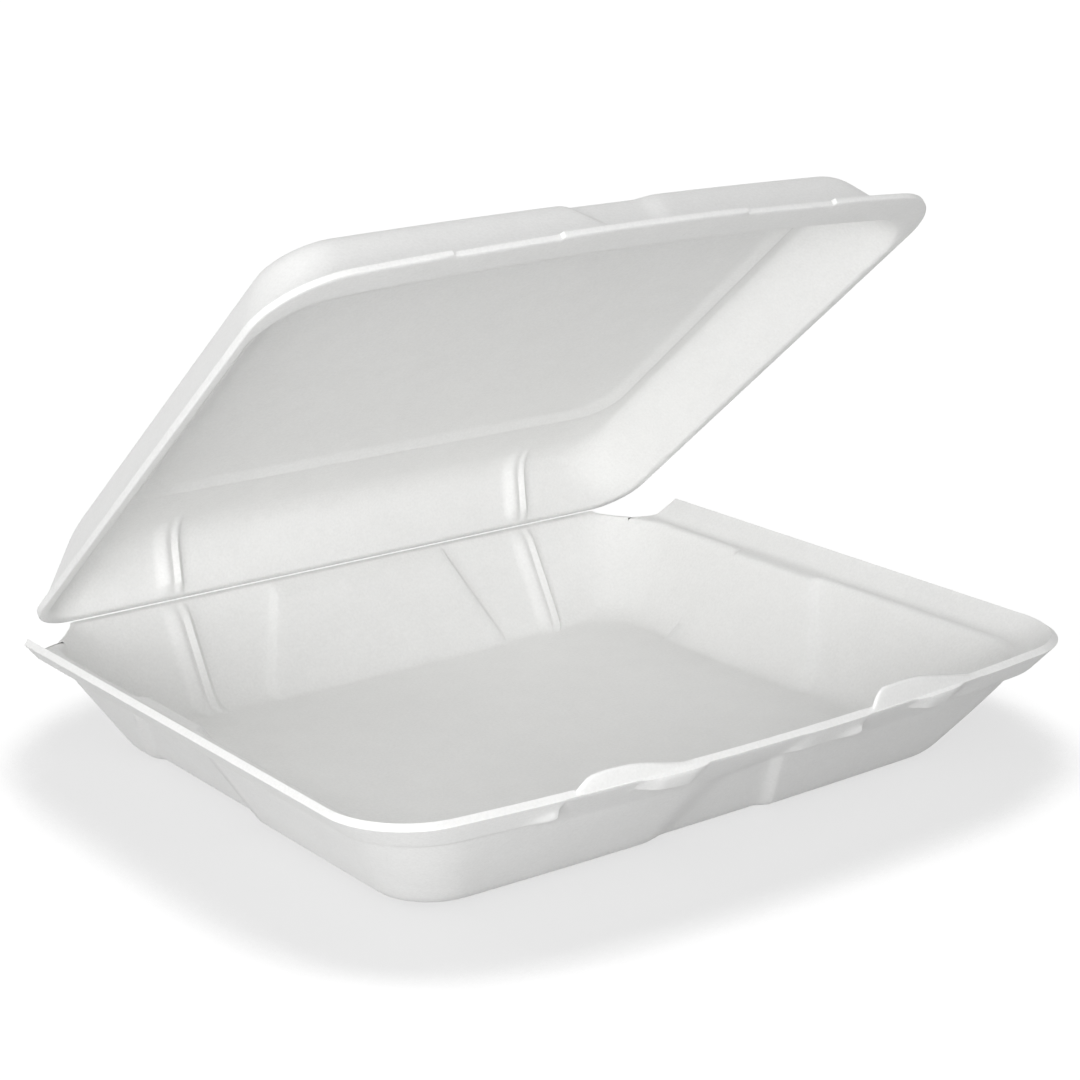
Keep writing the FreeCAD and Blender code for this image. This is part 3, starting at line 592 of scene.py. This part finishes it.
def lidRows():  # from the middle of the ceiling, round the rim, to the middle of the roof
    roof, seat, ceiling = lid["height"], lid["seat"], lid["height"] - lid["foam"]
    small, middle, wide = lid["roofRings"]
    inner, crest, outer = lid["beadMargins"]
    thickness = lid["rimThickness"]
    beadEnd = mixRows(beadRow(ceiling, outer), domeRow(ceiling, 1), lid["ceilingJoin"])
    roofEnd = mixRows(domeRow(roof, 0), beadRow(roof, lid["roofMargin"]), lid["roofJoin"])
    beadIn = softRows(beadRows(ceiling) + [(beadEnd, 0)], lid["beadSpacing"], lid["beadSteps"])
    wall = softRows([(beadIn[-1], 0), (domeRow(ceiling, 1), lid["ceilingRounding"]),
                     (domeRow(seat + lid["wallInside"], 1), lid["insideRounding"]),
                     (domeRow(seat, 1, 0.0), lid["seatRounding"]),
                     (rimRow(seat), lid["rimRounding"]), (rimRow(seat + thickness), lid["rimRounding"]),
                     (domeRow(seat + thickness, 0, lid["flangePress"]), lid["flangeRounding"]),
                     (domeRow(seat + lid["wallOutside"], 0), lid["outsideRounding"]),
                     (domeRow(roof, 0), lid["roofRounding"]), (roofEnd, 0)], lid["wallSpacing"], lid["wallSteps"])
    beadOut = softRows([(wall[-1], 0)] + beadRows(roof)[::-1], lid["beadSpacing"], lid["beadSteps"])
    return ([beadRow(ceiling, inner, small), beadRow(ceiling, inner, middle)] + beadIn + wall[1:] + beadOut[1:]
            + [beadRow(roof, inner, middle), beadRow(roof, inner, small)])


def buildLid():
    stations = makeStations(lidSides, lid["cornerSteps"])
    rows = lidRows()
    skin, ring = startSkin(stations, lambda station: lidPoint(rows[0], station))
    for row in rows[1:]:
        onRim = 1.0 if row["front"] > lid["rimFront"] - lid["notchReach"] else 0.0
        ring = growRow(skin, ring, stations, lambda station: lidPoint(row, station, onRim))
    opening = Matrix.Rotation(-math.radians(lid["opening"]), 4, "X")
    crease = Matrix.Translation((0, lid["creaseY"] * mm, lid["creaseZ"] * mm))
    finishSkin(skin, "foamLid", "cover", "lid", foamSheet, crease @ opening)


buildLid()
print("lid built")

# camera, as the photograph was taken
view = {"azimuth": -37.16, "elevation": 16.64, "roll": -0.16, "distance": 0.86591,
        "target": (0.08649, 0.10898, 0.020), "lens": 85.446, "sensor": 36.0,
        "clip": (0.01, 20)}


def towards(azimuth, elevation):  # unit vector from the part, azimuth 0 is straight in front
    a, e = math.radians(azimuth), math.radians(elevation)
    return Vector((math.sin(a) * math.cos(e), -math.cos(a) * math.cos(e), math.sin(e)))


def addCamera():
    back, roll = towards(view["azimuth"], view["elevation"]), math.radians(view["roll"])
    right = Vector((0, 0, 1)).cross(back).normalized()
    up = back.cross(right)
    turnedRight = right * math.cos(roll) + up * math.sin(roll)
    turnedUp = up * math.cos(roll) - right * math.sin(roll)
    data = bpy.data.cameras.new("camera")
    data.sensor_fit, data.sensor_width, data.lens = "HORIZONTAL", view["sensor"], view["lens"]
    data.clip_start, data.clip_end = view["clip"]
    camera = bpy.data.objects.new("camera", data)
    place = Matrix((turnedRight, turnedUp, back)).transposed().to_4x4()
    place.translation = Vector(view["target"]) + back * view["distance"]
    camera.matrix_world = place
    bpy.context.scene.collection.objects.link(camera)
    bpy.context.scene.camera = camera


# studio: white floor, white room and soft lamps
studio = {
    "floorSize": 30.0,
    "floorPaint": "#707070",     # what the camera sees under the glow
    "floorBounce": "#AEAEAE",    # what the floor gives back to the foam
    "glowNear": 0.93, "glowFar": 1.0, "nearEdge": 0.5, "farEdge": 2.2,   # the glow makes up for the lamps' falloff
    # the part's shadow on the glow: how near it has to be, in m, its tone, and the openness from dark to light
    "shadowReach": 0.06, "shadowTone": 0.72, "shadowDark": 0.66, "shadowLight": 0.84,
    "roomLight": 0.3,            # what the room gives to the foam, the camera sees it as white
    "aim": (0, 0, 0.06),
    "lamps": [
        # name, azimuth, elevation, distance, size, power
        ("nearLamp", -46, 9, 0.9, 0.6, 6.9),
        ("keyLamp", -40, 50, 2.4, 1.0, 4.2),
        ("rightLamp", 67, 34, 2.4, 1.4, 8.0),
        ("leftLamp", -120, 40, 2.4, 1.4, 9.5),
        ("backLamp", 180, 50, 2.4, 1.4, 6.0),
    ],
}


def addStudio():
    scene = bpy.context.scene
    mesh = bpy.data.meshes.new("studioFloor")
    ground = bmesh.new()
    bmesh.ops.create_grid(ground, x_segments=1, y_segments=1, size=studio["floorSize"] / 2)
    ground.to_mesh(mesh)
    ground.free()
    floor = bpy.data.objects.new("studioFloor", mesh)
    scene.collection.objects.link(floor)
    material = bpy.data.materials.new("paintedFloor")
    material.use_nodes = True
    tree = material.node_tree
    tree.nodes.remove(tree.nodes["Principled BSDF"])
    output = tree.nodes["Material Output"]
    ray = addNode(tree, "ShaderNodeLightPath")
    seen = addNode(tree, "ShaderNodeMath", {"operation": "MAXIMUM"}, None,
                   {0: ray.outputs["Is Camera Ray"], 1: ray.outputs["Is Glossy Ray"]})
    spot = addNode(tree, "ShaderNodeTexCoord")
    distance = addNode(tree, "ShaderNodeVectorMath", {"operation": "LENGTH"}, None, {0: spot.outputs["Object"]})
    spread = addNode(tree, "ShaderNodeMapRange", None,
                     {"From Min": studio["nearEdge"], "From Max": studio["farEdge"],
                      "To Min": studio["glowNear"], "To Max": studio["glowFar"]}, {"Value": distance.outputs["Value"]})
    cover = addNode(tree, "ShaderNodeAmbientOcclusion", None, {"Distance": studio["shadowReach"]})
    shadow = addNode(tree, "ShaderNodeMapRange", {"interpolation_type": "SMOOTHSTEP"},
                     {"From Min": studio["shadowDark"], "From Max": studio["shadowLight"],
                      "To Min": studio["shadowTone"], "To Max": 1.0}, {"Value": cover.outputs["AO"]})
    lit = addNode(tree, "ShaderNodeMath", {"operation": "MULTIPLY"}, None, {0: spread.outputs[0], 1: shadow.outputs[0]})
    strength = addNode(tree, "ShaderNodeMath", {"operation": "MULTIPLY"}, None,
                       {0: seen.outputs[0], 1: lit.outputs[0]})
    glow = addNode(tree, "ShaderNodeEmission", None, {"Color": (1, 1, 1, 1)}, {"Strength": strength.outputs[0]})
    colour = addNode(tree, "ShaderNodeMix", {"data_type": "RGBA"},
                     {6: hexColour(studio["floorBounce"]), 7: hexColour(studio["floorPaint"])},
                     {0: ray.outputs["Is Camera Ray"]})
    paint = addNode(tree, "ShaderNodeBsdfDiffuse", None, None, {"Color": colour.outputs[2]})
    both = addNode(tree, "ShaderNodeAddShader", None, None, {0: glow.outputs[0], 1: paint.outputs[0]})
    tree.links.new(both.outputs[0], output.inputs["Surface"])
    mesh.materials.append(material)

    world = bpy.data.worlds.new("whiteRoom")
    scene.world = world
    world.use_nodes = True
    tree = world.node_tree
    ray = addNode(tree, "ShaderNodeLightPath")
    room = tree.nodes["Background"]
    room.inputs["Color"].default_value = (1, 1, 1, 1)
    seen = addNode(tree, "ShaderNodeMath", {"operation": "MAXIMUM"}, None,
                   {0: ray.outputs["Is Camera Ray"], 1: ray.outputs["Is Glossy Ray"]})
    strength = addNode(tree, "ShaderNodeMapRange", None, {"To Min": studio["roomLight"], "To Max": 1.0},
                       {"Value": seen.outputs[0]})
    tree.links.new(strength.outputs[0], room.inputs["Strength"])
    for name, azimuth, elevation, distance, size, power in studio["lamps"]:
        light = bpy.data.lights.new(name, "AREA")
        light.shape, light.size, light.energy = "DISK", size, power
        lamp = bpy.data.objects.new(name, light)
        back = towards(azimuth, elevation)
        place = Vector(studio["aim"]) + back * distance
        lamp.matrix_world = Matrix.Translation(place) @ (-back).to_track_quat("-Z", "Y").to_matrix().to_4x4()
        scene.collection.objects.link(lamp)
    scene.view_settings.view_transform = "Standard"


addCamera()
addStudio()
print("studio set")
